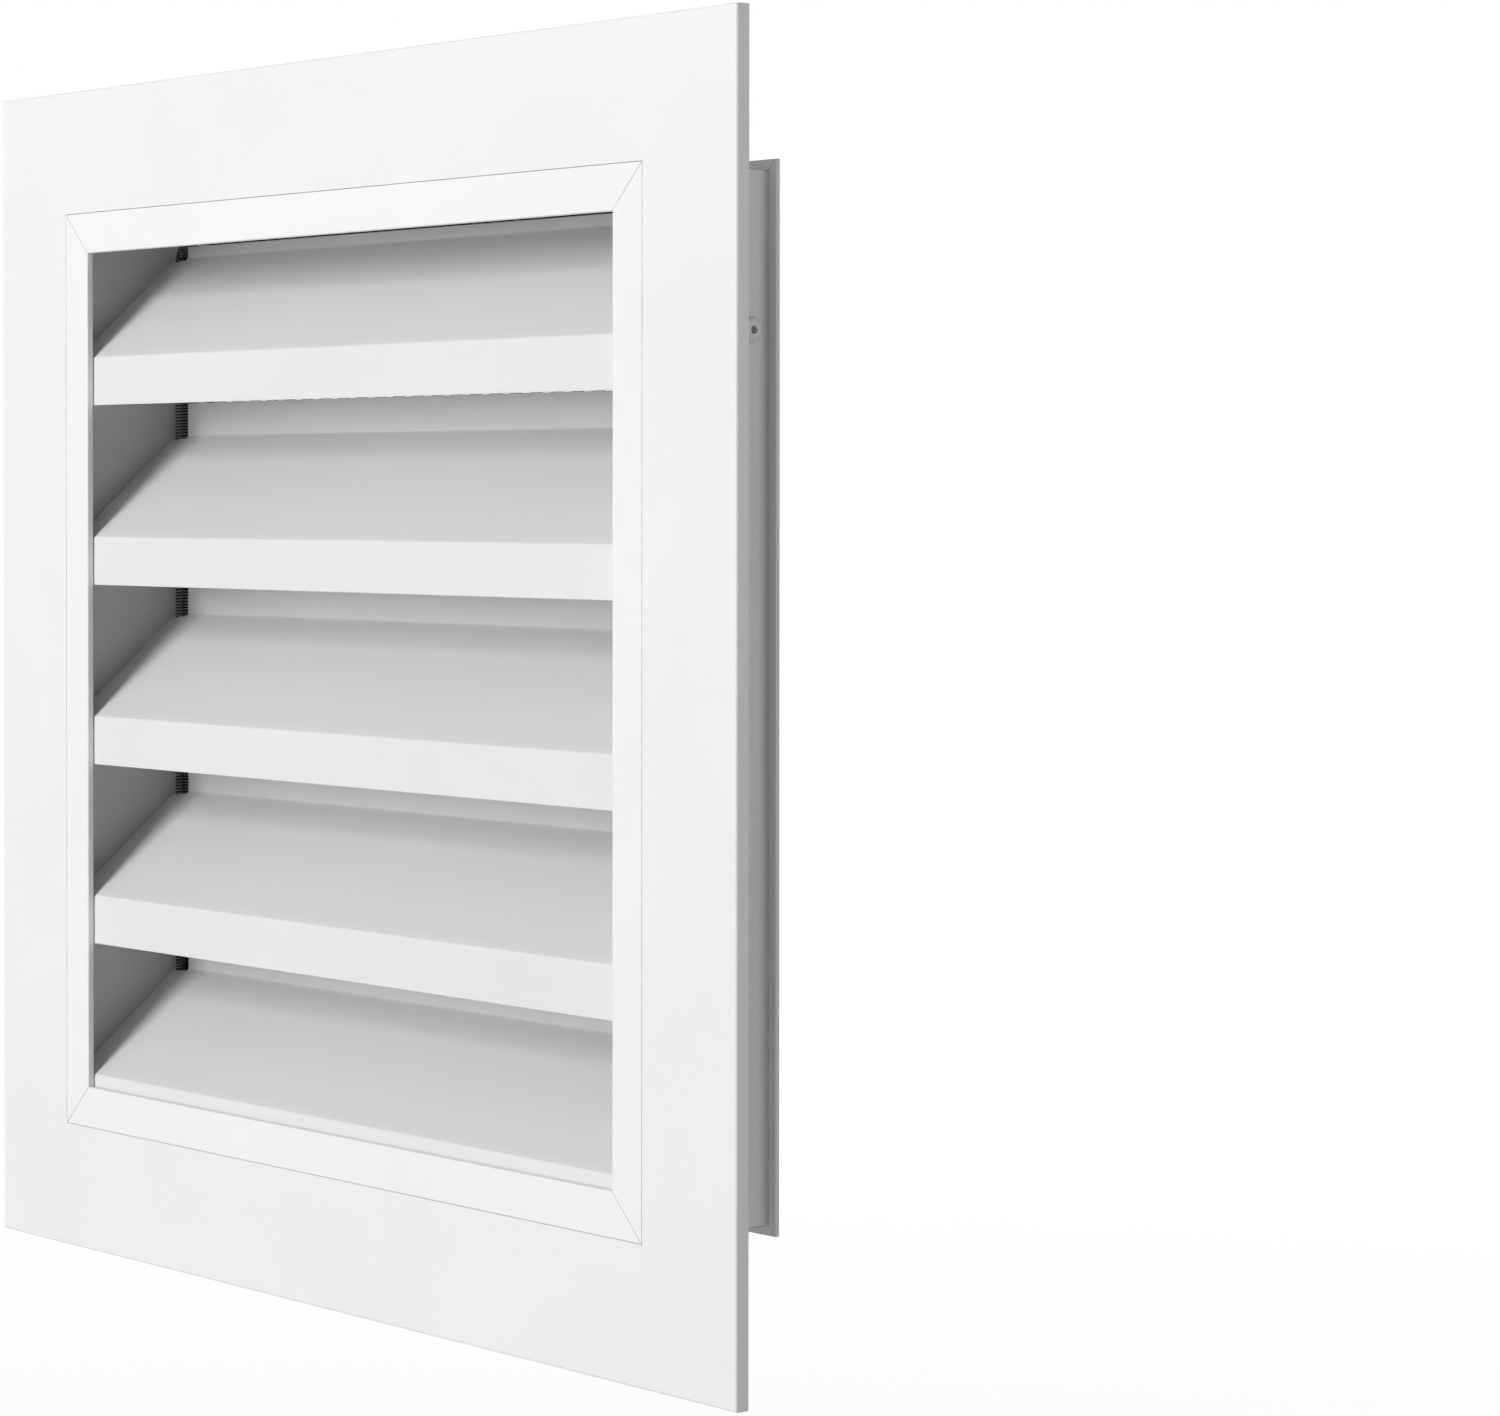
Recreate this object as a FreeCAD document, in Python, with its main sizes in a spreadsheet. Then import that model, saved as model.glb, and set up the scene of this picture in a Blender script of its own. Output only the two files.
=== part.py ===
import FreeCAD, Part
import os
import re
import Sketcher

# Square louvred gable vent with a sleeve, fixed blades and an insect screen, in millimetres.
# The origin is the centre of the wall plane, which is the back of the face plate. X runs to the
# right seen from the front, Y runs into the wall and Z runs up.

BLADE_COUNT = 5

SIZES = {
    # face plate
    "flange_width": 40.85,
    "plate_depth": 4.5,
    "plate_relief": 1.25,
    "plate_round": 0.8,
    "rim_width": 2.2,
    "outer_rib_inset": 7.2,
    "outer_rib_width": 4.4,
    "inner_rib_inset": 24.0,
    "inner_rib_width": 4.1,
    "large_pad_inset": 18.2,
    "large_pad_radius": 3.75,
    "small_pad_inset": 33.0,
    "small_pad_radius": 2.25,
    "pad_height": 0.5,
    # duct sleeve
    "duct_size": 305.0,
    "sleeve_gap": 0.15,
    "mitre_gap": 0.1,
    "wall_gauge": 2.0,
    "front_lip_width": 13.3,
    "front_lip_gauge": 2.1,
    "rear_lip_width": 3.0,
    "rear_lip_gauge": 1.7,
    "lip_round": 0.4,
    # louvres
    "nose_setback": 10.0,
    "nose_height": 15.9,
    "nose_round": 1.5,
    "sill_height": 13.0,
    "blade_run": 31.8,
    "blade_rise": 34.5,
    "blade_gauge": 1.1,
    "blade_gap": 0.15,
    "upstand_height": 11.1,
    "top_upstand_height": 3.7,
    "top_recess": 11.25,
    "upstand_inset": 8.1,
    "notch_drop": 0.9,
    "fold_round": 1.0,
    "port_half": 1.6,
    "rear_port_run": 22.0,
    # louvre screws
    "screw_head_radius": 3.9,
    "screw_head_height": 2.5,
    "screw_crown_radius": 2.9,
    "screw_root_radius": 1.5,
    "screw_length": 13.0,
    "screw_play": 0.5,
    # insect screen
    "screen_gap": 0.1,
    "screen_depth": 4.6,
    "screen_gauge": 0.6,
    "screen_corner": 13.0,
    "hem_width": 22.0,
    "hem_bevel": 1.35,
    "bond_width": 4.0,
    "strand_width": 5.0,
    "ridge_width": 2.0,
    "ridge_height": 0.4,
    "rear_recess": 1.5,
    # mounting tabs and their rivets
    "tab_width": 10.0,
    "tab_gauge": 1.0,
    "tab_bend": 4.0,
    "tab_standoff": 4.9,
    "tab_hole_drop": 17.2,
    "tab_hole_radius": 2.5,
    "tab_above_nose": 1.4,
    "rivet_gap": 0.15,
    "rivet_shank_radius": 2.0,
    "rivet_play": 0.1,
    "rivet_head_radius": 3.8,
    "rivet_head_height": 1.5,
    "rivet_crown_radius": 2.4,
    "rivet_tail_radius": 2.3,
    "rivet_tail_length": 2.0,
}

# Columns and rows of the screen's openings. Every second column stands half a row higher.
SCREEN_COLUMNS = 5
SCREEN_ROWS = 24

# Places worked out from the sizes. Half widths are measured from the duct's axis.
WALL_OUT = "(duct_size / 2)"
WALL_IN = "(duct_size / 2 - wall_gauge)"
PLATE_HALF = "(duct_size / 2 + sleeve_gap + flange_width)"
LIP_IN = "(duct_size / 2 - front_lip_width)"
LIP_OUT = "(duct_size / 2 + rear_lip_width)"
NOSE_Y = "(nose_setback - plate_depth)"
SCREEN_Y = "(nose_setback - plate_depth + blade_run + blade_gauge + screen_gap)"
DUCT_BACK = f"({SCREEN_Y} + screen_depth + rear_recess)"
TAB_BACK = f"({DUCT_BACK} + tab_standoff)"
RIVET_Y = f"({SCREEN_Y} - rivet_tail_radius - rivet_gap)"
TOP_NOSE = f"({WALL_IN} - top_recess - blade_rise)"
LOW_NOSE = f"(blade_gap + sill_height - {WALL_IN})"
BLADE_PITCH = f"(({TOP_NOSE} - {LOW_NOSE}) / {BLADE_COUNT - 1})"
TAB_RISE = f"({TOP_NOSE} + tab_above_nose)"
# Height gained for each millimetre of depth, and length of slope for each millimetre of depth.
SLOPE = "(blade_rise / blade_run)"
SLANT = "(sqrt(blade_run ^ 2 + blade_rise ^ 2) / blade_run)"
# Depth and height of the two screw channels, from the front top edge of the nose.
FRONT_PORT_RUN = "(blade_gauge + port_half)"
PORT_DROP = f"((blade_gauge + port_half) * {SLANT})"
PORTS = {
    "front": (FRONT_PORT_RUN, f"({FRONT_PORT_RUN} * {SLOPE} - {PORT_DROP})"),
    "rear": ("rear_port_run", f"(rear_port_run * {SLOPE} - {PORT_DROP})"),
}
RIVET_BORE = "(rivet_shank_radius + rivet_play)"
# Tools that cut right through a piece reach this far past it.
PAST = 5

# Turn about Y that carries a piece from the top wall to each wall of the sleeve.
SIDES = {"top": 0, "right": 90, "bottom": 180, "left": -90}
# Height of the tab on each wall that has one.
TAB_LEVELS = {"right": TAB_RISE, "bottom": "0", "left": TAB_RISE}

doc = FreeCAD.newDocument("gable_vent")
sheet = doc.addObject("Spreadsheet::Sheet", "Sizes")
for row, (alias, size) in enumerate(SIZES.items(), start=1):
    sheet.set(f"A{row}", alias)
    sheet.set(f"B{row}", str(size))
    sheet.setAlias(f"B{row}", alias)
doc.recompute()


def bound(text):
    # Puts the sheet's name before every size that an expression names.
    return re.sub(r"[a-z]\w*", lambda word: f"Sizes.{word[0]}" if word[0] in SIZES else word[0], text)


def value(text):
    return float(sheet.evalExpression(bound(text)))


def new_body(label, turn=0):
    body = doc.addObject("PartDesign::Body", label)
    body.Label = label
    body.Placement = FreeCAD.Placement(FreeCAD.Vector(0, 0, 0), FreeCAD.Rotation(FreeCAD.Vector(0, 1, 0), turn))
    return body


def place(body, **spots):
    for axis, text in spots.items():
        body.setExpression(f"Placement.Base.{axis}", bound(text))


def origin_part(body, role):
    return next(part for part in body.Origin.OriginFeatures if part.Role == role)


def new_sketch(body, plane, offset="0"):
    # The offset runs along the plane's normal: +Z on XY, -Y on XZ and +X on YZ.
    sketch = body.newObject("Sketcher::SketchObject", "Sketch")
    sketch.AttachmentSupport = [(origin_part(body, plane), "")]
    sketch.MapMode = "FlatFace"
    sketch.setExpression("AttachmentOffset.Base.z", bound(offset))
    return sketch


def pin_point(sketch, shape, corner, spot):
    for kind, text in zip(("DistanceX", "DistanceY"), spot):
        index = sketch.addConstraint(Sketcher.Constraint(kind, -1, 1, shape, corner, value(text)))
        sketch.setExpression(f"Constraints[{index}]", bound(text))


def add_outline(sketch, spots):
    # A closed outline of straight edges, with each corner tied to the sheet.
    corners = [FreeCAD.Vector(value(across), value(up), 0) for across, up in spots]
    first = sketch.GeometryCount
    count = len(spots)
    for step, corner in enumerate(corners):
        sketch.addGeometry(Part.LineSegment(corner, corners[(step + 1) % count]), False)
    for step, spot in enumerate(spots):
        after = first + (step + 1) % count
        sketch.addConstraint(Sketcher.Constraint("Coincident", first + step, 2, after, 1))
        pin_point(sketch, first + step, 1, spot)


def add_square(sketch, half):
    add_outline(sketch, [(f"-{half}", f"-{half}"), (half, f"-{half}"), (half, half), (f"-{half}", half)])


def add_box(sketch, left, right, low, high):
    add_outline(sketch, [(left, low), (right, low), (right, high), (left, high)])


def add_circle(sketch, spot, radius):
    centre = FreeCAD.Vector(value(spot[0]), value(spot[1]), 0)
    circle = sketch.addGeometry(Part.Circle(centre, FreeCAD.Vector(0, 0, 1), value(radius)), False)
    index = sketch.addConstraint(Sketcher.Constraint("Radius", circle, value(radius)))
    sketch.setExpression(f"Constraints[{index}]", bound(radius))
    pin_point(sketch, circle, 3, spot)


def add_pad(body, sketch, length, side="One side", back=False):
    pad = body.newObject("PartDesign::Pad", "Pad")
    pad.Profile = sketch
    pad.SideType = side
    pad.Reversed = back
    pad.setExpression("Length", bound(length))
    doc.recompute()
    return pad


def add_pocket(body, sketch, length=None, back=False):
    # With no length the pocket runs through the whole piece, both ways.
    before = body.Shape.Volume
    pocket = body.newObject("PartDesign::Pocket", "Pocket")
    pocket.Profile = sketch
    pocket.Reversed = back
    if length is None:
        pocket.SideType = "Symmetric"
        pocket.Type = "ThroughAll"
    else:
        pocket.setExpression("Length", bound(length))
    doc.recompute()
    if body.Shape.Volume >= before:
        raise RuntimeError(f"a pocket of {body.Label} cuts nothing")
    return pocket


def add_turned(body, sketch, axis):
    turned = body.newObject("PartDesign::Revolution", "Revolution")
    turned.Profile = sketch
    turned.ReferenceAxis = (sketch, [axis])
    turned.Angle = 360
    doc.recompute()
    return turned


def add_edge_work(body, base, wanted, size, kind="Fillet"):
    # Rounds or bevels the edges whose two ends and middle pass the test.
    names = []
    for number, edge in enumerate(base.Shape.Edges, start=1):
        middle = edge.valueAt((edge.FirstParameter + edge.LastParameter) / 2)
        if all(wanted(point) for point in [vertex.Point for vertex in edge.Vertexes] + [middle]):
            names.append(f"Edge{number}")
    if not names:
        raise RuntimeError(f"a {kind} of {body.Label} finds no edge")
    worked = body.newObject(f"PartDesign::{kind}", kind)
    worked.Base = (base, names)
    worked.setExpression("Radius" if kind == "Fillet" else "Size", bound(size))
    doc.recompute()
    return worked


def near(**spots):
    # A test that a point has the named coordinates.
    wanted = {axis: value(text) for axis, text in spots.items()}
    return lambda point: all(abs(getattr(point, axis) - spot) < 0.01 for axis, spot in wanted.items())


def on_square(half, **spots):
    # A test that a point lies on the edge of a square about the duct's axis.
    reach = value(half)
    level = near(**spots)
    return lambda point: level(point) and abs(max(abs(point.x), abs(point.z)) - reach) < 0.01


def make_face_plate():
    body = new_body("face_plate")
    ring = new_sketch(body, "XZ_Plane")
    add_square(ring, PLATE_HALF)
    add_square(ring, f"({WALL_OUT} + sleeve_gap)")
    add_pad(body, ring, "plate_depth")

    # The back is relieved in three bands, which leave a rim and two ribs standing.
    bands = new_sketch(body, "XZ_Plane")
    for half in (
        f"({PLATE_HALF} - rim_width)",
        f"({PLATE_HALF} - outer_rib_inset)",
        f"({PLATE_HALF} - outer_rib_inset - outer_rib_width)",
        f"({PLATE_HALF} - inner_rib_inset)",
        f"({PLATE_HALF} - inner_rib_inset - inner_rib_width)",
        f"({WALL_OUT} + sleeve_gap - {PAST})",
    ):
        add_square(bands, half)
    add_pocket(body, bands, "plate_relief", back=True)

    # Ejector pads stand on the relieved bands, a large and a small one at each corner.
    pads = new_sketch(body, "XZ_Plane", "plate_depth / 2")
    for inset, radius in (("large_pad_inset", "large_pad_radius"), ("small_pad_inset", "small_pad_radius")):
        for across in ("-1", "1"):
            for up in ("-1", "1"):
                spot = (f"{across} * ({PLATE_HALF} - {inset})", f"{up} * ({PLATE_HALF} - {inset})")
                add_circle(pads, spot, radius)
    padded = add_pad(body, pads, "plate_depth / 2 - plate_relief + pad_height", back=True)
    add_edge_work(body, padded, on_square(PLATE_HALF, y="-plate_depth"), "plate_round")
    return body


def make_rail(side, holes):
    # Modelled as the top rail, then turned about the duct's axis.
    body = new_body(f"duct_rail_{side}", SIDES[side])
    mitred = new_sketch(body, "XZ_Plane", f"-{DUCT_BACK}")
    inner = f"({LIP_IN} - mitre_gap)"
    outer = f"({LIP_OUT} - mitre_gap)"
    add_outline(mitred, [(f"-{inner}", LIP_IN), (inner, LIP_IN), (outer, LIP_OUT), (f"-{outer}", LIP_OUT)])
    add_pad(body, mitred, f"{DUCT_BACK} + plate_depth")

    section = new_sketch(body, "YZ_Plane")
    add_box(section, "front_lip_gauge - plate_depth", f"{DUCT_BACK} + {PAST}", f"{LIP_IN} - {PAST}", WALL_IN)
    add_box(section, f"-plate_depth - {PAST}", f"{DUCT_BACK} - rear_lip_gauge", WALL_OUT, f"{LIP_OUT} + {PAST}")
    rolled = add_pocket(body, section)
    rounded = add_edge_work(body, rolled, near(y="-plate_depth", z=LIP_IN), "lip_round")
    add_edge_work(body, rounded, near(y=DUCT_BACK, z=LIP_OUT), "lip_round")

    if holes:
        drilled = new_sketch(body, "XY_Plane")
        for spot, radius in holes:
            add_circle(drilled, spot, radius)
        add_pocket(body, drilled)
    return body


def nose_level(number):
    # Height of a blade's nose, counted from 1 at the top.
    return f"({TOP_NOSE} - {number - 1} * {BLADE_PITCH})"


def side_holes(sign):
    # Places on a side rail, whose own X axis runs down the right wall and up the left wall.
    holes = [((f"{sign} * {TAB_RISE}", RIVET_Y), RIVET_BORE)]
    for number in range(1, BLADE_COUNT + 1):
        for run, rise in PORTS.values():
            spot = (f"{sign} * ({nose_level(number)} + {rise})", f"{NOSE_Y} + {run}")
            holes.append((spot, "screw_root_radius + screw_play"))
    return holes


def make_louvre(number):
    # Drawn from the front top edge of its nose. The first blade has a low upstand, which leaves a
    # gap under the top rail, and the last one has a lower nose, which stands on the bottom rail.
    nose = "sill_height" if number == BLADE_COUNT else "nose_height"
    upstand = "top_upstand_height" if number == 1 else "upstand_height"
    under = f"blade_gauge * {SLANT}"
    body = new_body(f"louvre_{number}")
    place(body, y=NOSE_Y, z=nose_level(number))
    profile = new_sketch(body, "YZ_Plane")
    back = "(blade_run + blade_gauge)"
    top = f"(blade_rise + {upstand})"
    add_outline(profile, [
        ("0", f"-{nose}"),
        ("0", "0"),
        ("blade_run", "blade_rise"),
        ("blade_run", top),
        (back, top),
        (back, f"{back} * {SLOPE} - {under}"),
        ("blade_gauge", f"blade_gauge * {SLOPE} - {under}"),
        ("blade_gauge", f"-{nose}"),
    ])
    length = f"2 * ({WALL_IN} - blade_gap)"
    sheet_form = add_pad(body, profile, length, "Symmetric")
    rounded = add_edge_work(body, sheet_form, near(y="0", z="0"), "nose_round")
    rounded = add_edge_work(body, rounded, near(y="blade_run", z="blade_rise"), "fold_round")
    add_edge_work(body, rounded, near(y=back, z=f"{back} * {SLOPE} - {under}"), "fold_round + blade_gauge")

    # Two screw channels run along under the slope. The nose is the front rib of the first one.
    ribs = new_sketch(body, "YZ_Plane")
    for column, (run, rise) in PORTS.items():
        starts = [f"({run} + port_half)"]
        if column == "rear":
            starts.append(f"({run} - port_half - blade_gauge)")
        for start in starts:
            add_outline(ribs, [
                (start, f"{rise} - port_half"),
                (f"{start} + blade_gauge", f"{rise} - port_half"),
                (f"{start} + blade_gauge", f"({start} + blade_gauge) * {SLOPE} - {under} / 2"),
                (start, f"{start} * {SLOPE} - {under} / 2"),
            ])
    add_pad(body, ribs, length, "Symmetric")

    # The upstand stops short of both walls.
    notches = new_sketch(body, "XZ_Plane")
    low = "(blade_rise - notch_drop)"
    add_box(notches, f"{WALL_IN} - upstand_inset", f"{WALL_IN} + {PAST}", low, f"{top} + {PAST}")
    add_box(notches, f"-{WALL_IN} - {PAST}", f"upstand_inset - {WALL_IN}", low, f"{top} + {PAST}")
    add_pocket(body, notches)
    return body


def make_screws(side, column):
    # Five pan head screws, one to a blade, driven through one wall into the blades' channels. The
    # shank is a six-sided rod in place of its thread, and lies within the thread's root.
    run, rise = PORTS[column]
    body = new_body(f"louvre_screws_{side}_{column}", 0 if side == "right" else 180)
    body.AllowCompound = True
    place(body, y=f"{NOSE_Y} + {run}", z=f"{TOP_NOSE} + {rise}")
    shank = new_sketch(body, "YZ_Plane", f"{WALL_OUT} - screw_length")
    half = "screw_root_radius / 2"
    flat = "screw_root_radius * sqrt(3) / 2"
    add_outline(shank, [
        (f"-{flat}", f"-{half}"),
        ("0", "-screw_root_radius"),
        (flat, f"-{half}"),
        (flat, half),
        ("0", "screw_root_radius"),
        (f"-{flat}", half),
    ])
    add_pad(body, shank, "screw_length")
    profile = new_sketch(body, "XY_Plane")
    add_outline(profile, [
        (WALL_OUT, "0"),
        (WALL_OUT, "screw_head_radius"),
        (f"{WALL_OUT} + screw_head_height", "screw_crown_radius"),
        (f"{WALL_OUT} + screw_head_height", "0"),
    ])
    head = add_turned(body, profile, "H_Axis")

    row = body.newObject("PartDesign::LinearPattern", "LinearPattern")
    row.TransformMode = "Whole shape"
    row.Originals = [head]
    row.Direction = (origin_part(body, "Z_Axis"), [""])
    row.Reversed = side == "right"
    row.Mode = "Spacing"
    row.setExpression("Offset", bound(BLADE_PITCH))
    row.Occurrences = BLADE_COUNT
    body.Tip = row
    doc.recompute()
    return body


def make_screen_slab(label, inset):
    # A rounded square slab, as thick as the folded screen less the inset on every side.
    body = new_body(label)
    back = f"({SCREEN_Y} + screen_depth - {inset})"
    half = f"({WALL_IN} - tab_gauge - 2 * screen_gap - {inset})"
    outline = new_sketch(body, "XZ_Plane", f"-{back}")
    add_square(outline, half)
    slab = add_pad(body, outline, f"screen_depth - 2 * {inset}")
    reach = value(half)
    corners = add_edge_work(
        body, slab, lambda point: abs(abs(point.x) - reach) < 0.01 and abs(abs(point.z) - reach) < 0.01,
        f"screen_corner - {inset}",
    )
    front, rear = value(f"{SCREEN_Y} + {inset}"), value(back)
    add_edge_work(
        body, corners, lambda point: abs(point.y - front) < 0.01 or abs(point.y - rear) < 0.01,
        f"hem_bevel - (2 - sqrt(2)) * {inset}", "Chamfer",
    )
    return body


def make_insect_screen():
    # The mesh is folded forward all round, which leaves a hollow hem about the flat panel.
    body = make_screen_slab("insect_screen", "0")
    hollow = make_screen_slab("screen_hollow", "screen_gauge")
    folded = body.newObject("PartDesign::Boolean", "Boolean")
    folded.Type = "Cut"
    folded.setObjects([hollow])
    doc.recompute()

    middle = f"({SCREEN_Y} + screen_depth / 2)"
    window_half = f"({WALL_IN} - tab_gauge - 2 * screen_gap - hem_width)"
    window = new_sketch(body, "XZ_Plane", f"-{middle}")
    add_square(window, window_half)
    add_pocket(body, window, "screen_depth", back=True)

    # The weave stands in for the fine mesh, ten times as coarse: staggered columns of openings,
    # with a ridge along the bonds between two columns.
    column = f"(2 * {window_half} / {SCREEN_COLUMNS})"
    level = f"(2 * {window_half} / ({SCREEN_ROWS} + 0.5))"
    for start in (0, 1):
        left = f"({start} * {column} - {window_half} + bond_width / 2)"
        low = f"({start} * {level} / 2 - {window_half} + strand_width / 2)"
        opening = new_sketch(body, "XZ_Plane", f"-{middle}")
        add_box(opening, left, f"{left} + {column} - bond_width", low, f"{low} + {level} - strand_width")
        weave = body.newObject("PartDesign::LinearPattern", "LinearPattern")
        weave.Originals = [add_pocket(body, opening, "screen_depth")]
        weave.Direction = (origin_part(body, "X_Axis"), [""])
        weave.Mode = "Spacing"
        weave.setExpression("Offset", bound(f"2 * {column}"))
        weave.Occurrences = (SCREEN_COLUMNS + 1 - start) // 2
        weave.Direction2 = (origin_part(body, "Z_Axis"), [""])
        weave.Mode2 = "Spacing"
        weave.setExpression("Offset2", bound(level))
        weave.Occurrences2 = SCREEN_ROWS
        body.Tip = weave
        doc.recompute()
    bonds = new_sketch(body, "XZ_Plane", f"screen_gauge / 2 - {SCREEN_Y} - screen_depth")
    for number in range(1, SCREEN_COLUMNS):
        middle_line = f"({number} * {column} - {window_half})"
        add_box(
            bonds, f"{middle_line} - ridge_width / 2", f"{middle_line} + ridge_width / 2",
            f"-{window_half}", window_half,
        )
    add_pad(body, bonds, "screen_gauge / 2 + ridge_height", back=True)
    return body


def make_tab(side):
    # A strip that lies on the inside of the wall and turns in past the sleeve's rear edge.
    body = new_body(f"mounting_tab_{side}", SIDES[side])
    place(body, z=TAB_LEVELS[side])
    hole_level = f"({WALL_IN} - tab_hole_drop)"
    inside = f"({WALL_IN} - tab_gauge)"
    front = f"({TAB_BACK} - tab_gauge)"
    profile = new_sketch(body, "YZ_Plane")
    riveted = f"({RIVET_Y} - tab_width / 2)"
    add_outline(profile, [
        (riveted, WALL_IN),
        (TAB_BACK, WALL_IN),
        (TAB_BACK, hole_level),
        (front, hole_level),
        (front, inside),
        (riveted, inside),
    ])
    strip = add_pad(body, profile, "tab_width", "Symmetric")
    bent = add_edge_work(body, strip, near(y=TAB_BACK, z=WALL_IN), "tab_bend + tab_gauge")
    add_edge_work(body, bent, near(y=front, z=inside), "tab_bend")

    # The free end is rounded about its hole.
    end = new_sketch(body, "XZ_Plane", f"-{TAB_BACK}")
    add_circle(end, ("0", hole_level), "tab_width / 2")
    add_pad(body, end, "tab_gauge")
    for plane, centre, bore in (("XY_Plane", RIVET_Y, RIVET_BORE), ("XZ_Plane", hole_level, "tab_hole_radius")):
        hole = new_sketch(body, plane)
        add_circle(hole, ("0", centre), bore)
        add_pocket(body, hole)
    return body


def make_rivet(side):
    # A blind rivet: flanged head outside the wall, tail drawn up against the tab's leg.
    body = new_body(f"tab_rivet_{side}", SIDES[side])
    place(body, y=RIVET_Y, z=TAB_LEVELS[side])
    leg = f"({WALL_IN} - tab_gauge)"
    tail = f"({leg} - rivet_tail_length)"
    crown = f"({WALL_OUT} + rivet_head_height)"
    section = new_sketch(body, "XZ_Plane")
    add_outline(section, [
        ("0", tail),
        ("rivet_tail_radius", tail),
        ("rivet_tail_radius", leg),
        ("rivet_shank_radius", leg),
        ("rivet_shank_radius", WALL_OUT),
        ("rivet_head_radius", WALL_OUT),
        ("rivet_crown_radius", crown),
        ("0", crown),
    ])
    add_turned(body, section, "V_Axis")
    return body


pieces = [
    make_face_plate(),
    make_rail("top", []),
    make_rail("bottom", [(("0", RIVET_Y), RIVET_BORE)]),
    make_rail("left", side_holes("1")),
    make_rail("right", side_holes("-1")),
]
pieces += [make_louvre(number) for number in range(1, BLADE_COUNT + 1)]
for side in TAB_LEVELS:
    pieces.append(make_tab(side))
    pieces.append(make_rivet(side))
for side in ("left", "right"):
    for column in PORTS:
        pieces.append(make_screws(side, column))
pieces.append(make_insect_screen())
doc.recompute()

for thing in doc.Objects:
    if "Invalid" in thing.State or "Error" in thing.State:
        raise RuntimeError(f"{thing.Name} of {thing.Label} failed: {thing.State}")
os.makedirs("parts", exist_ok=True)
for piece in pieces:
    if piece.Shape.isNull() or not piece.Shape.isValid():
        raise RuntimeError(f"{piece.Label} has no valid shape")
    piece.Shape.exportStep(f"parts/{piece.Label}.step")
    box = piece.Shape.BoundBox
    print(f"{piece.Label}: {len(piece.Shape.Solids)} solids, {piece.Shape.Volume / 1000:.2f} cm3, "
          f"X {box.XMin:.1f} {box.XMax:.1f}, Y {box.YMin:.1f} {box.YMax:.1f}, Z {box.ZMin:.1f} {box.ZMax:.1f}")
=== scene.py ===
import math

import bmesh
import bpy
from mathutils import Matrix, Vector


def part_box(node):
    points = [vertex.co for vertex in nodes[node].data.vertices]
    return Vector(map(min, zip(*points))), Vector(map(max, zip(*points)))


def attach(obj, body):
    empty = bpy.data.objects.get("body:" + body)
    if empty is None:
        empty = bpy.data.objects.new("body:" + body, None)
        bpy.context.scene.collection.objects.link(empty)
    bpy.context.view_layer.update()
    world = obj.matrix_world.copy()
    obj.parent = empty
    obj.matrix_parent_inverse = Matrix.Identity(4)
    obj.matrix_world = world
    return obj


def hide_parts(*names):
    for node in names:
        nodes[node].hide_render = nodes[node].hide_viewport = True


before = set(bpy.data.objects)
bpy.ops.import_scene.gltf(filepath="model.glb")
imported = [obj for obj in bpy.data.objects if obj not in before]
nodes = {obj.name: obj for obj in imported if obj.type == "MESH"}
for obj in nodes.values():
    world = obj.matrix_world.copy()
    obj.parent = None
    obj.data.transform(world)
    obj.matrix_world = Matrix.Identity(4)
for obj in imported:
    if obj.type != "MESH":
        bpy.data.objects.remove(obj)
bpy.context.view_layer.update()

print("gable vent: frame loaded")
mm = 0.001
scene = bpy.context.scene


# Small helpers for shader maths.

class Wire:
    # One socket of a material. Sums and products of wires add Math nodes.
    def __init__(self, paint, socket):
        self.paint = paint
        self.socket = socket

    def maths(self, operation, first, second):
        return self.paint.node("ShaderNodeMath", {"operation": operation}, {0: first, 1: second})

    def __add__(self, other):
        return self.maths("ADD", self, other)

    def __mul__(self, other):
        return self.maths("MULTIPLY", self, other)


class Paint:
    # A material being mixed: its nodes, and the shader that they feed.
    def __init__(self, name):
        self.material = bpy.data.materials.new(name)
        self.material.use_nodes = True
        self.tree = self.material.node_tree
        self.shader = self.tree.nodes["Principled BSDF"]

    def node(self, kind, settings, inputs, out=0):
        made = self.tree.nodes.new(kind)
        for key, setting in settings.items():
            setattr(made, key, setting)
        for key, source in inputs.items():
            self.feed(made.inputs[key], source)
        return Wire(self, made.outputs[out])

    def feed(self, socket, source):
        if isinstance(source, Wire):
            self.tree.links.new(source.socket, socket)
        elif hasattr(source, "__len__") and len(source) == 3 and len(socket.default_value) == 4:
            socket.default_value = (*source, 1)
        else:
            socket.default_value = source

    def place(self):
        return self.node("ShaderNodeTexCoord", {}, {}, "Object")

    def noise(self, scale, detail=2):
        return self.node("ShaderNodeTexNoise", {}, {
            "Vector": self.place(), "Scale": scale, "Detail": detail, "Roughness": 0.5,
        })

    def blend(self, amount, first, second):
        return self.node("ShaderNodeMix", {"data_type": "RGBA"}, {0: amount, 6: first, 7: second}, 2)

    def spread(self, wire, low, high, newLow, newHigh):
        return self.node("ShaderNodeMapRange", {}, {0: wire, 1: low, 2: high, 3: newLow, 4: newHigh})

    def bump(self, height, distance):
        return self.node("ShaderNodeBump", {}, {"Height": height, "Distance": distance})

    def wear(self, **sockets):
        for name, source in sockets.items():
            self.feed(self.shader.inputs[name.replace("_", " ")], source)
        return self.material


# The finishes of the pieces, with painted shade on the sleeve and louvres.

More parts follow.
